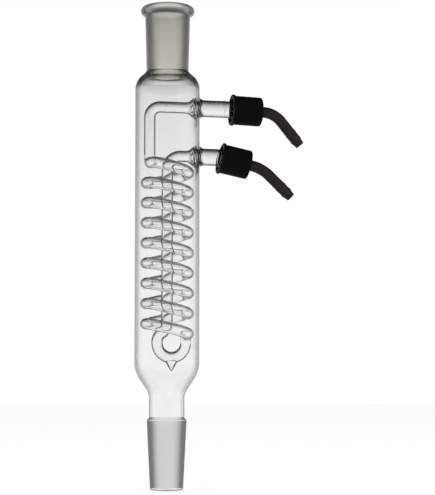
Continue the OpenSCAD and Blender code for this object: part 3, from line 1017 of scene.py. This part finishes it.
    def arm_profile(self, arm: ArmPlan) -> tuple[Array, Array]:
        """Distances along an arm's line and radii: out to the mouth, back to the seal's boss.

        Args:
            arm: The arm.

        Returns:
            Distances and radii.
        """
        r, bore, core, seam = arm.body_r, arm.bore_r, self.thread_core_r, arm.seam_s
        mouth, cap, face = arm.cap_s + arm.thread_reach, arm.cap_s, self.coil.seal_face_x
        edge, bore_edge = self.mouth_edge_r, self.mouth_bore_edge_r
        boss, boss_bore = self.boss_edge_r, self.boss_bore_edge_r
        root = self.outer_r + self.arm_cove_r + self.arm_root
        seam_s = seam + np.linspace(-self.seam_half, self.seam_half, len(self.seam_swell))
        thread = np.arange(cap + self.thread_step + 0.2, mouth - edge, self.thread_gap)
        pieces = [
            np.linspace((root, r), (seam - 1.2, r), 8),
            np.column_stack((seam_s, r + np.array(self.seam_swell))),
            [[cap - 0.3, r], [cap, r + 0.04], [cap + 0.9, core - 0.1], [cap + self.thread_step, core]],
            np.column_stack((thread, np.full(len(thread), core))),
            arc(mouth - edge, core - edge, edge, 90, 0, 15),
            [[mouth, bore + 0.9]],
            arc(mouth - bore_edge, bore + bore_edge, bore_edge, 0, -90, 22),
            np.linspace((mouth - 1.2, bore), (face + 1.0, bore), 24),
            arc(face + boss_bore, bore + boss_bore, boss_bore, -90, -180, 30),
            arc(face + boss, self.coil.seal_r - boss, boss, 180, 90, 22),
        ]
        both = np.vstack(pieces)
        return both[:, 0], both[:, 1]

    def outer_rings(self, arm: ArmPlan) -> int:
        """Number of an arm's rings from the jacket's outside to the mouth."""
        return self.flare_rings + self.cove_rings + int(np.argmax(self.arm_profile(arm)[0]))

    def hole_loop(self) -> tuple[Array, Array]:
        """Steps round an arm's hole in the jacket's grid, from its lower corner and back.

        Returns:
            Rows above the hole's lowest one, and columns from the one under the arm.
        """
        wide, high = self.hole_columns, self.hole_rows
        across, climb = np.arange(-wide, wide), np.arange(high)
        level = (0 * across, climb, np.full(2 * wide, high), climb[::-1] + 1)
        side = (across, np.full(high, wide), across[::-1] + 1, np.full(high, -wide))
        return np.concatenate(level), np.concatenate(side)

    def build(self) -> bpy.types.Object:
        """Builds the jacket: an outline turned about Z, with an arm sewn into each hole.

        Returns:
            The piece.
        """
        outline, zones, heights = self.profile()
        columns, high, wide = self.columns, self.hole_rows, self.hole_columns
        theta = full_turn(columns)
        r, z = outline[:, :1], np.repeat(outline[:, 1:], columns, axis=1)
        body = np.stack((r * np.cos(theta), r * np.sin(theta), z), axis=-1).reshape(-1, 3)
        faces = grid_faces(len(outline), columns)
        face_row, face_column = np.divmod(np.arange(len(faces)), columns)
        near, keep = (face_column + wide) % columns < 2 * wide, np.ones(len(faces), bool)

        def row_of(radius: float, height: float) -> int:
            """Row of the outline at that radius and height."""
            return int(np.argmin(np.hypot(*(outline - (radius, height)).T)))

        straight_out, straight_in = row_of(self.outer_r, heights[0]), row_of(self.inner_r, heights[-1])
        level, side = self.hole_loop()
        points, sides, side_zones, count = [body], [], [], len(body)
        for arm in self.arms:
            low = int(np.argmin(np.abs(heights - arm.z + self.hole_half)))
            out_low, in_low = straight_out + low, straight_in + len(heights) - 1 - low
            keep &= ~(near & (face_row >= out_low) & (face_row < out_low + high))
            keep &= ~(near & (face_row >= in_low - high) & (face_row < in_low))
            outer_ids = (out_low + level) * columns + side % columns
            inner_ids = (in_low - level) * columns + side % columns
            rings = self.arm_rings(arm, body[outer_ids], body[inner_ids])
            new_ids = count + np.arange(rings.shape[0] * rings.shape[1]).reshape(rings.shape[:2])
            ids = np.vstack((outer_ids, new_ids, inner_ids))
            right = np.roll(ids, -1, axis=1)
            sides.append(np.stack((ids[:-1], right[:-1], right[1:], ids[1:]), axis=-1).reshape(-1, 4))
            in_bore = np.arange(len(ids) - 1) > self.outer_rings(arm)
            zone = np.where(in_bore, Zone.INNER.value, Zone.ARM.value)
            side_zones.append(np.repeat(zone, ids.shape[1]))
            points.append(rings.reshape(-1, 3))
            count += new_ids.size
        all_faces = np.vstack([faces[keep], *sides])
        all_zones = np.concatenate([zones[face_row][keep], *side_zones])
        finishes = [JACKET_FINISHES[zone].material() for zone in Zone]
        piece = make_piece("glass_jacket_shell", np.vstack(points), all_faces, finishes, all_zones)
        return stand_in(piece, ("glass_jacket",), Body.GLASS)


@dataclass
class WaterTube:
    """Coiled water tube with its legs, hook, drip tip and centre tube, one bent glass tube."""

    upper_z: float
    lower_z: float
    sizes: CoilSizes
    columns: int = 32
    overlap: float = 0.03
    bend_turn: float = 5.0
    run_gap: float = 6.0
    flare_power: float = 2.2
    flare_rows: int = 9
    tip_round: float = 0.6
    tip_flank: float = 5.0
    tip_blend: float = 0.25
    tip_reach: float = 2.0
    tip_rise: float = 0.4
    tip_from: float = 50.0
    tip_to: float = 130.0
    tip_turn: float = 1.5

    def line(self) -> TubeLine:
        """Centre line from the upper seal down, round the coil and the hook, and up the middle.

        Returns:
            The line, between the two flares.
        """
        c = self.sizes
        tilt, half = c.tilt, c.half_turn_r
        flare_x = c.seal_face_x - c.flare_len
        lead_z = c.top_z + (c.line_r + c.leg_offset) * math.tan(math.radians(tilt))
        leg_plane = c.leg_offset / math.cos(math.radians(tilt))
        hook_x = c.line_r - 2 * c.hook_r
        back = math.degrees(math.acos(1 - math.hypot(hook_x, c.turn_in_r) / (2 * c.return_bend_r)))
        roll = math.degrees(math.atan2(-c.turn_in_r, -hook_x))
        back_z = c.hook_z + 2 * c.return_bend_r * math.sin(math.radians(back))
        steps = [
            Step(flare_x + c.leg_offset - c.top_bend_r, 180, c.top_bend_r, 90),
            Step(self.upper_z - c.top_bend_r - lead_z - c.turn_in_r, 90, c.turn_in_r, 90),
            Step(0, -90 - tilt, half - c.turn_in_r, 90),
            Step(leg_plane - half + c.turn_in_r, 0, half, 90),
            *[Step(0, -2 * tilt, half, 180)] * (2 * c.turns),
            Step(0, -90 - tilt, c.turn_in_r, 90),
            Step(0, 90, c.hook_r, 180),
            Step(0, roll, c.return_bend_r, back),
            Step(0, 180, c.return_bend_r, back),
            Step(self.lower_z - c.exit_bend_r - back_z, -180 - roll, c.exit_bend_r, 90),
            Step(flare_x - c.exit_bend_r),
        ]
        axes = np.array([[0, 0, -1], [0, 1, 0], [1, 0, 0]], float)
        return TubeLine(np.array([flare_x, 0, self.upper_z]), axes, steps)

    def radii(self, s: Array, length: float, r: float, end_r: float) -> Array:
        """Radius along the tube: r, opening to end_r over each flare as a power of the share.

        Args:
            s: Distances along the line.
            length: Length of the line between the flares.
            r: Radius of the plain tube.
            end_r: Radius at the seals.

        Returns:
            The radii.
        """
        past = np.maximum(np.maximum(-s, s - length), 0) / self.sizes.flare_len
        return r + (end_r - r) * np.minimum(past, 1) ** self.flare_power

    def with_drip(self, points: Array) -> Array:
        """Outer surface with the drip tip drawn out of the hook's underside.

        Below the hook a point moves down to the smooth lower one of its height and the tip's:
        drip_z + m (sqrt(d^2 + q^2) - q), steeper past the tip's radius, at distance d from
        the tip's axis, where q rounds the very end.

        Args:
            points: Points of the outer surface.

        Returns:
            The moved points.
        """
        c, q = self.sizes, self.tip_round
        middle = np.array([c.line_r - c.hook_r, c.turn_in_r])
        d = np.linalg.norm(points[:, :2] - middle, axis=1)
        slope = c.drip_len / (math.hypot(c.drip_r, q) - q)
        flank = self.tip_flank * np.maximum(d - c.drip_r + self.tip_blend, 0) ** 2
        tip = c.drip_z + slope * (np.hypot(d, q) - q) + flank
        under = (points[:, 2] < c.hook_z - c.hook_r + self.tip_rise) & (d < c.drip_r + self.tip_reach)
        lower = -smooth_max(-points[:, 2], -tip, self.tip_blend)
        moved = points.copy()
        moved[:, 2] = np.where(under, np.maximum(lower, c.drip_z), points[:, 2])
        return moved

    def build(self) -> bpy.types.Object:
        """Builds the tube: its outside, and its bore back again, round the same line.

        Returns:
            The piece.
        """
        c, line = self.sizes, self.line()
        low, high = -c.flare_len - self.overlap, line.length + c.flare_len + self.overlap
        flare = np.linspace(0, c.flare_len, self.flare_rows)[1:-1]
        rows = (line.places(low, high, self.bend_turn, self.run_gap), -flare, line.length + flare)
        winding_from, hook_from = (line.marks[np.argmax(line.radii == r)] for r in (c.turn_in_r, c.hook_r))
        near_tip = hook_from + np.radians(np.arange(self.tip_from, self.tip_to, self.tip_turn)) * c.hook_r
        s_out = np.unique(np.concatenate((*rows, near_tip)).round(6))
        s_in = np.unique(np.concatenate(rows).round(6))[::-1]
        angles = full_turn(self.columns)
        outer = round_line(line, s_out, self.radii(s_out, line.length, c.tube_r, c.seal_r), angles)
        inner = round_line(line, s_in, self.radii(s_in, line.length, c.bore_r, c.seal_bore_r), angles)
        outside = self.with_drip(outer)
        faces = grid_faces(len(s_out) + len(s_in), self.columns)
        winding = (s_out >= winding_from) & (s_out < hook_from)
        around = np.where(winding, TubeZone.COIL.value, TubeZone.PLAIN.value)[:-1]
        bore = np.full(len(s_in) + 1, TubeZone.BORE.value)
        zones = np.repeat(np.append(around, bore), self.columns)
        drawn = np.append(outside[:, 2] < outer[:, 2] - self.overlap, np.zeros(len(inner), bool))
        zones = np.where(drawn[faces].any(axis=1), TubeZone.TIP.value, zones)
        finishes = [TUBE_FINISHES[zone].material() for zone in TubeZone]
        piece = make_piece("cooling_coil_tube", np.vstack((outside, inner)), faces, finishes, zones)
        return stand_in(piece, WATER_TUBE_NODES, Body.GLASS)


@dataclass
class ScrewConnection:
    """Screw cap, seal ring and bent hose nozzle on the end of a side arm."""

    arm: ArmPlan
    name: str
    cap_body: Body
    nozzle_body: Body
    seal_body: Body
    cap_bore_r: float = 7.2
    cap_r: float = 8.95
    cap_end: float = 2.5
    cap_edge_r: float = 0.8
    lip_out: float = 0.7
    lip_w: float = 1.6
    lip_edge_r: float = 0.45
    hole_r: float = 3.8
    bore_chamfer: float = 0.5
    cap_row_gap: float = 0.9
    ribs: int = 36
    rib_columns: int = 10
    rib_depth: float = 0.35
    rib_places: tuple[float, ...] = (0, 0.22, 0.33, 0.55, 0.66, 0.88, 1)
    rib_heights: tuple[float, ...] = (0, 0.9, 1, 1, 0.9, 0, 0)
    seat_r: float = 6.5
    seal_t: float = 1.5
    seal_bore_r: float = 2.5
    flange_t: float = 2.0
    nozzle_r: float = 3.4
    nozzle_bore_r: float = 2.1
    nozzle_edge_r: float = 0.3
    barb_shift: float = 0.35
    barb_step: float = 5.0
    barb_out: float = 0.25
    tip_r: float = 2.5
    nozzle_columns: int = 48
    seal_columns: int = 64

    def turned(self, kind: str, s: Array, r: Array, columns: int, finish: Finish) -> bpy.types.Object:
        """Closed outline turned about the arm's line.

        Args:
            kind: What the piece is, for its name.
            s: Distance along the line of each row.
            r: Radius of each row, or of each row and column.
            columns: Number of columns.
            finish: Finish of the piece.

        Returns:
            The piece.
        """
        points = round_line(self.arm.line(), s, r, full_turn(columns))
        faces = grid_faces(len(s), columns)
        return make_piece(f"{self.name}_{kind}", points, faces, [finish.material()])

    def build(self) -> list[bpy.types.Object]:
        """Builds the cap, the nozzle and the seal ring.

        Returns:
            The three pieces.
        """
        return [self.cap(), self.nozzle(), self.seal()]

    def cap(self) -> bpy.types.Object:
        """Builds the cap: a closed outline turned about the arm's line, with grip ribs outside.

        A rib's height over one rib spacing rises, stays and falls, and the grip's radius is
        the smaller one of the rounded outline and the ribs.

        Returns:
            The piece.
        """
        arm, r, bore = self.arm, self.cap_r, self.cap_bore_r
        end, lip = arm.cap_len, self.cap_r + self.lip_out
        inside = end - self.cap_end
        outline = filled(rounded([
            (0, bore + self.bore_chamfer, 0), (0, lip, self.lip_edge_r),
            (self.lip_w, lip, self.lip_edge_r), (self.lip_w, r, 0.15),
            (end, r, self.cap_edge_r), (end, self.hole_r, 0.35), (inside, self.hole_r, 0.15),
            (inside, bore, 0.3), (self.bore_chamfer, bore, 0),
        ]), self.cap_row_gap)
        columns = self.ribs * self.rib_columns
        share = np.mod(full_turn(columns) * self.ribs / (2 * np.pi), 1)
        grip = r - self.rib_depth * (1 - np.interp(share, self.rib_places, self.rib_heights))
        s, plain = outline[:, 0], outline[:, 1]
        ribbed = (s > self.lip_w + 0.05) & (plain > bore + 0.3)
        radius = np.where(ribbed[:, None], np.minimum(plain[:, None], grip[None, :]), plain[:, None])
        piece = self.turned("cap_moulding", arm.cap_s + s, radius, columns, CAP_BLACK)
        return stand_in(piece, (self.name + "_cap",), self.cap_body)

    def nozzle(self) -> bpy.types.Object:
        """Builds the nozzle: flange, neck, bend and barbed tail round the arm's line.

        Returns:
            The piece.
        """
        arm, r, bore, out = self.arm, self.nozzle_r, self.nozzle_bore_r, self.barb_out
        seat, edge = self.seat_r, self.nozzle_edge_r
        line = arm.line()
        flange = arm.cap_s + arm.thread_reach + self.seal_t
        top, tip = flange + self.flange_t, arm.tip_s
        tail = tip - arm.tail_len
        second = tip - self.barb_step + self.barb_shift
        first = second - self.barb_step
        bend = line.places(top + 0.8, tail, 2.5, 1.0)
        barb = np.array([
            [-0.62, 0], [-0.45, -0.05], [-0.28, -0.02], [-0.12, out - 0.05], [0, out], [0.25, out - 0.04],
        ])
        outer = np.vstack((
            arc(flange + edge, seat - edge, edge, 180, 90, 30),
            arc(top - edge, seat - edge, edge, 90, 0, 30),
            [[top, r + 0.9]],
            arc(top + edge, r + edge, edge, 180, 270, 30),
            np.column_stack((bend, np.full(len(bend), r))),
            np.linspace((tail + 0.8, r), (first - 1, r), 9),
            barb + (first, r),
            [[first + 1.6, r + 0.08], [first + 3.2, r - 0.02]],
            barb + (second, r),
            [[second + 1.6, r - 0.12], [second + 3.0, r - 0.45]],
            arc(tip - edge, self.tip_r, edge, 80, 0, 20),
        ))
        back = line.places(flange + 0.4, tip - 0.5, 5, 4)[::-1]
        inner = np.vstack((
            arc(tip - 0.15, bore + 0.15, 0.15, 0, -90, 45),
            np.column_stack((back, np.full(len(back), bore))),
            arc(flange + 0.2, bore + 0.2, 0.2, 270, 180, 45),
        ))
        both = np.vstack((outer, inner))
        piece = self.turned("hose_nozzle", both[:, 0], both[:, 1], self.nozzle_columns, NOZZLE_SMOKE)
        return stand_in(piece, (self.name + "_nozzle",), self.nozzle_body)

    def seal(self) -> bpy.types.Object:
        """Builds the seal ring between the glass mouth and the nozzle's flange.

        Returns:
            The piece.
        """
        start = self.arm.cap_s + self.arm.thread_reach
        outline = rounded([
            (0, self.seal_bore_r, 0.25), (0, self.seat_r, 0.3),
            (self.seal_t, self.seat_r, 0.3), (self.seal_t, self.seal_bore_r, 0.25),
        ])
        s, r = start + outline[:, 0], outline[:, 1]
        piece = self.turned("seal_ring", s, r, self.seal_columns, SEAL_SILICONE)
        return stand_in(piece, (self.name + "_seal",), self.seal_body)


@dataclass
class Studio:
    """Pale floor, soft lamps, white surroundings and the camera.

    Camera and object sizes are in millimetres, and the lamps' places in metres.
    """

    lens: float = 120.2
    distance: float = 1000.0
    azimuth: float = -12.6
    side: float = 30.6
    middle: float = 146.0
    height: float = 60.0
    fill: float = 0.6
    overhead: float = 0.08
    dark_from: float = 0.04
    dark_to: float = 0.5
    floor_z: float = -1.5
    floor_side: float = 12000.0
    floor_glow: float = 1.07
    glow_share: float = 0.8

    def seen_apart(self, n: Nodes, light: bpy.types.Node, seen: bpy.types.Node) -> bpy.types.Node:
        """Mixes two shaders: camera, gloss and glass rays meet one, and all others the other.

        Args:
            n: Nodes of the tree to work in.
            light: Shader that lights the scene.
            seen: Shader that camera, gloss and glass rays meet.

        Returns:
            The mix shader.
        """
        path = n.add("ShaderNodeLightPath")
        first, second = n.add("ShaderNodeMath"), n.add("ShaderNodeMath")
        first.operation = second.operation = "MAXIMUM"
        n.join(path.outputs["Is Camera Ray"], first.inputs[0])
        n.join(path.outputs["Is Glossy Ray"], first.inputs[1])
        n.join(first.outputs[0], second.inputs[0])
        n.join(path.outputs["Is Transmission Ray"], second.inputs[1])
        mix = n.add("ShaderNodeMixShader")
        n.join(second.outputs[0], mix.inputs[0])
        n.join(light.outputs[0], mix.inputs[1])
        n.join(seen.outputs[0], mix.inputs[2])
        return mix

    def dark_overhead(self, n: Nodes, seen: bpy.types.Node) -> None:
        """Lets the surroundings that glass and gloss show darken towards overhead.

        The strength is 1 for every camera ray. For other rays it falls from 1 to the
        overhead value as the ray's rise, the sine of its angle above level, grows.

        Args:
            n: Nodes of the world.
            seen: Background shader whose strength is set.
        """
        place, parts = n.add("ShaderNodeTexCoord"), n.add("ShaderNodeSeparateXYZ")
        n.join(place.outputs["Generated"], parts.inputs[0])
        ramp = n.add("ShaderNodeMapRange")
        ramp.interpolation_type = "SMOOTHSTEP"
        for label, start, end in (("From", self.dark_from, self.dark_to), ("To", 1.0, self.overhead)):
            ramp.inputs[label + " Min"].default_value = start
            ramp.inputs[label + " Max"].default_value = end
        n.join(parts.outputs["Z"], ramp.inputs["Value"])
        path, most = n.add("ShaderNodeLightPath"), n.add("ShaderNodeMath")
        most.operation = "MAXIMUM"
        n.join(path.outputs["Is Camera Ray"], most.inputs[0])
        n.join(ramp.outputs["Result"], most.inputs[1])
        n.join(most.outputs[0], seen.inputs["Strength"])

    def world(self) -> None:
        """Sets the surroundings: white to the eye, dark overhead in glass, a softer fill as light."""
        world = bpy.data.worlds.new("studio")
        world.use_nodes = True
        world.node_tree.nodes.clear()
        n = Nodes(world.node_tree)
        light = n.add("ShaderNodeBackground", Color=(1, 1, 1, 1), Strength=self.fill)
        seen = n.add("ShaderNodeBackground", Color=(1, 1, 1, 1), Strength=1.0)
        self.dark_overhead(n, seen)
        mix = self.seen_apart(n, light, seen)
        out = n.add("ShaderNodeOutputWorld")
        n.join(mix.outputs[0], out.inputs["Surface"])
        bpy.context.scene.world = world

    def floor(self) -> None:
        """Lays the pale floor just under the cone's tip. It keeps the condenser's shadow."""
        mesh = bpy.data.meshes.new("floor")
        far, z = self.floor_side / 2 * MM, self.floor_z * MM
        corners = [(-far, -far, z), (far, -far, z), (far, far, z), (-far, far, z)]
        mesh.from_pydata(corners, [], [(0, 1, 2, 3)])
        finish = bpy.data.materials.new("floor_white")
        finish.use_nodes = True
        finish.node_tree.nodes.clear()
        n = Nodes(finish.node_tree)
        matt = n.add("ShaderNodeBsdfDiffuse", Color=(0.9, 0.9, 0.9, 1))
        glow = n.add("ShaderNodeEmission", Color=(1, 1, 1, 1), Strength=self.floor_glow)
        both = n.add("ShaderNodeMixShader")
        both.inputs[0].default_value = self.glow_share
        n.join(matt.outputs[0], both.inputs[1])
        n.join(glow.outputs[0], both.inputs[2])
        mix = self.seen_apart(n, matt, both)
        out = n.add("ShaderNodeOutputMaterial")
        n.join(mix.outputs[0], out.inputs["Surface"])
        mesh.materials.append(finish)
        floor = bpy.data.objects.new("floor", mesh)
        bpy.context.scene.collection.objects.link(floor)

    def lamp(self, name: str, place: tuple[float, float, float], size: float, power: float) -> None:
        """Adds a square soft lamp that points at the condenser's middle.

        Args:
            name: Name of the lamp.
            place: Where it stands, in metres.
            size: Side of the square, in metres.
            power: Power in watts.
        """
        data = bpy.data.lights.new(name, "AREA")
        data.shape, data.size, data.energy = "SQUARE", size, power
        lamp = bpy.data.objects.new(name, data)
        lamp.location = place
        aim = Vector((0.02, 0, self.middle * MM)) - Vector(place)
        lamp.rotation_euler = aim.to_track_quat("-Z", "Y").to_euler()
        bpy.context.scene.collection.objects.link(lamp)

    def camera(self) -> None:
        """Sets the camera low and turns it up a little, to the condenser's middle."""
        data = bpy.data.cameras.new("camera")
        data.lens, data.sensor_width, data.sensor_fit = self.lens, 36.0, "AUTO"
        data.clip_start, data.clip_end = 0.01, 20
        camera = bpy.data.objects.new("camera", data)
        a = math.radians(self.azimuth)
        back, right = Vector((math.sin(a), -math.cos(a), 0)), Vector((math.cos(a), math.sin(a), 0))
        place = back * self.distance + right * self.side + Vector((0, 0, self.height))
        camera.location = place * MM
        aim = Vector((0, 0, self.middle - self.height)) - back * self.distance
        camera.rotation_euler = aim.to_track_quat("-Z", "Y").to_euler()
        bpy.context.scene.collection.objects.link(camera)
        bpy.context.scene.camera = camera

    def build(self) -> None:
        """Builds the studio."""
        self.world()
        self.floor()
        self.lamp("key_lamp", (-1.1, -1.3, 1.5), 1.8, 20.0)
        self.lamp("fill_lamp", (1.4, -1.2, 0.8), 1.8, 9.0)
        self.camera()
        bpy.context.scene.view_settings.view_transform = "Standard"


def main() -> None:
    """Builds the condenser and its studio, and reports each piece."""
    logging.basicConfig(level=logging.INFO, format="%(name)s: %(message)s")
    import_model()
    top_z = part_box("glass_jacket")[1].z / MM
    coil = CoilSizes()
    lower_z = coil.top_z + 2 * coil.tube_r + coil.exit_gap
    upper_z = lower_z + ARM_SPACING
    upper = ArmPlan(upper_z, reach=20.3, droop=2.0, neck=5.0, nozzle_bend=48.0)
    lower = ArmPlan(lower_z, reach=13.2, droop=11.8, neck=1.5, nozzle_bend=31.8)
    parts = [
        GlassJacket((lower, upper), top_z, coil),
        WaterTube(upper_z, lower_z, coil),
        ScrewConnection(upper, "upper", Body.UPPER_CAP, Body.UPPER_NOZZLE, Body.UPPER_SEAL),
        ScrewConnection(lower, "lower", Body.LOWER_CAP, Body.LOWER_NOZZLE, Body.LOWER_SEAL),
    ]
    for part in parts:
        made = part.build()
        for piece in made if isinstance(made, list) else [made]:
            LOG.info("%s: %d faces", piece.name, len(piece.data.polygons))
    Studio().build()
    cycles = bpy.context.scene.cycles
    cycles.max_bounces = cycles.transmission_bounces = LIGHT_BOUNCES


if __name__ == "__main__":
    main()
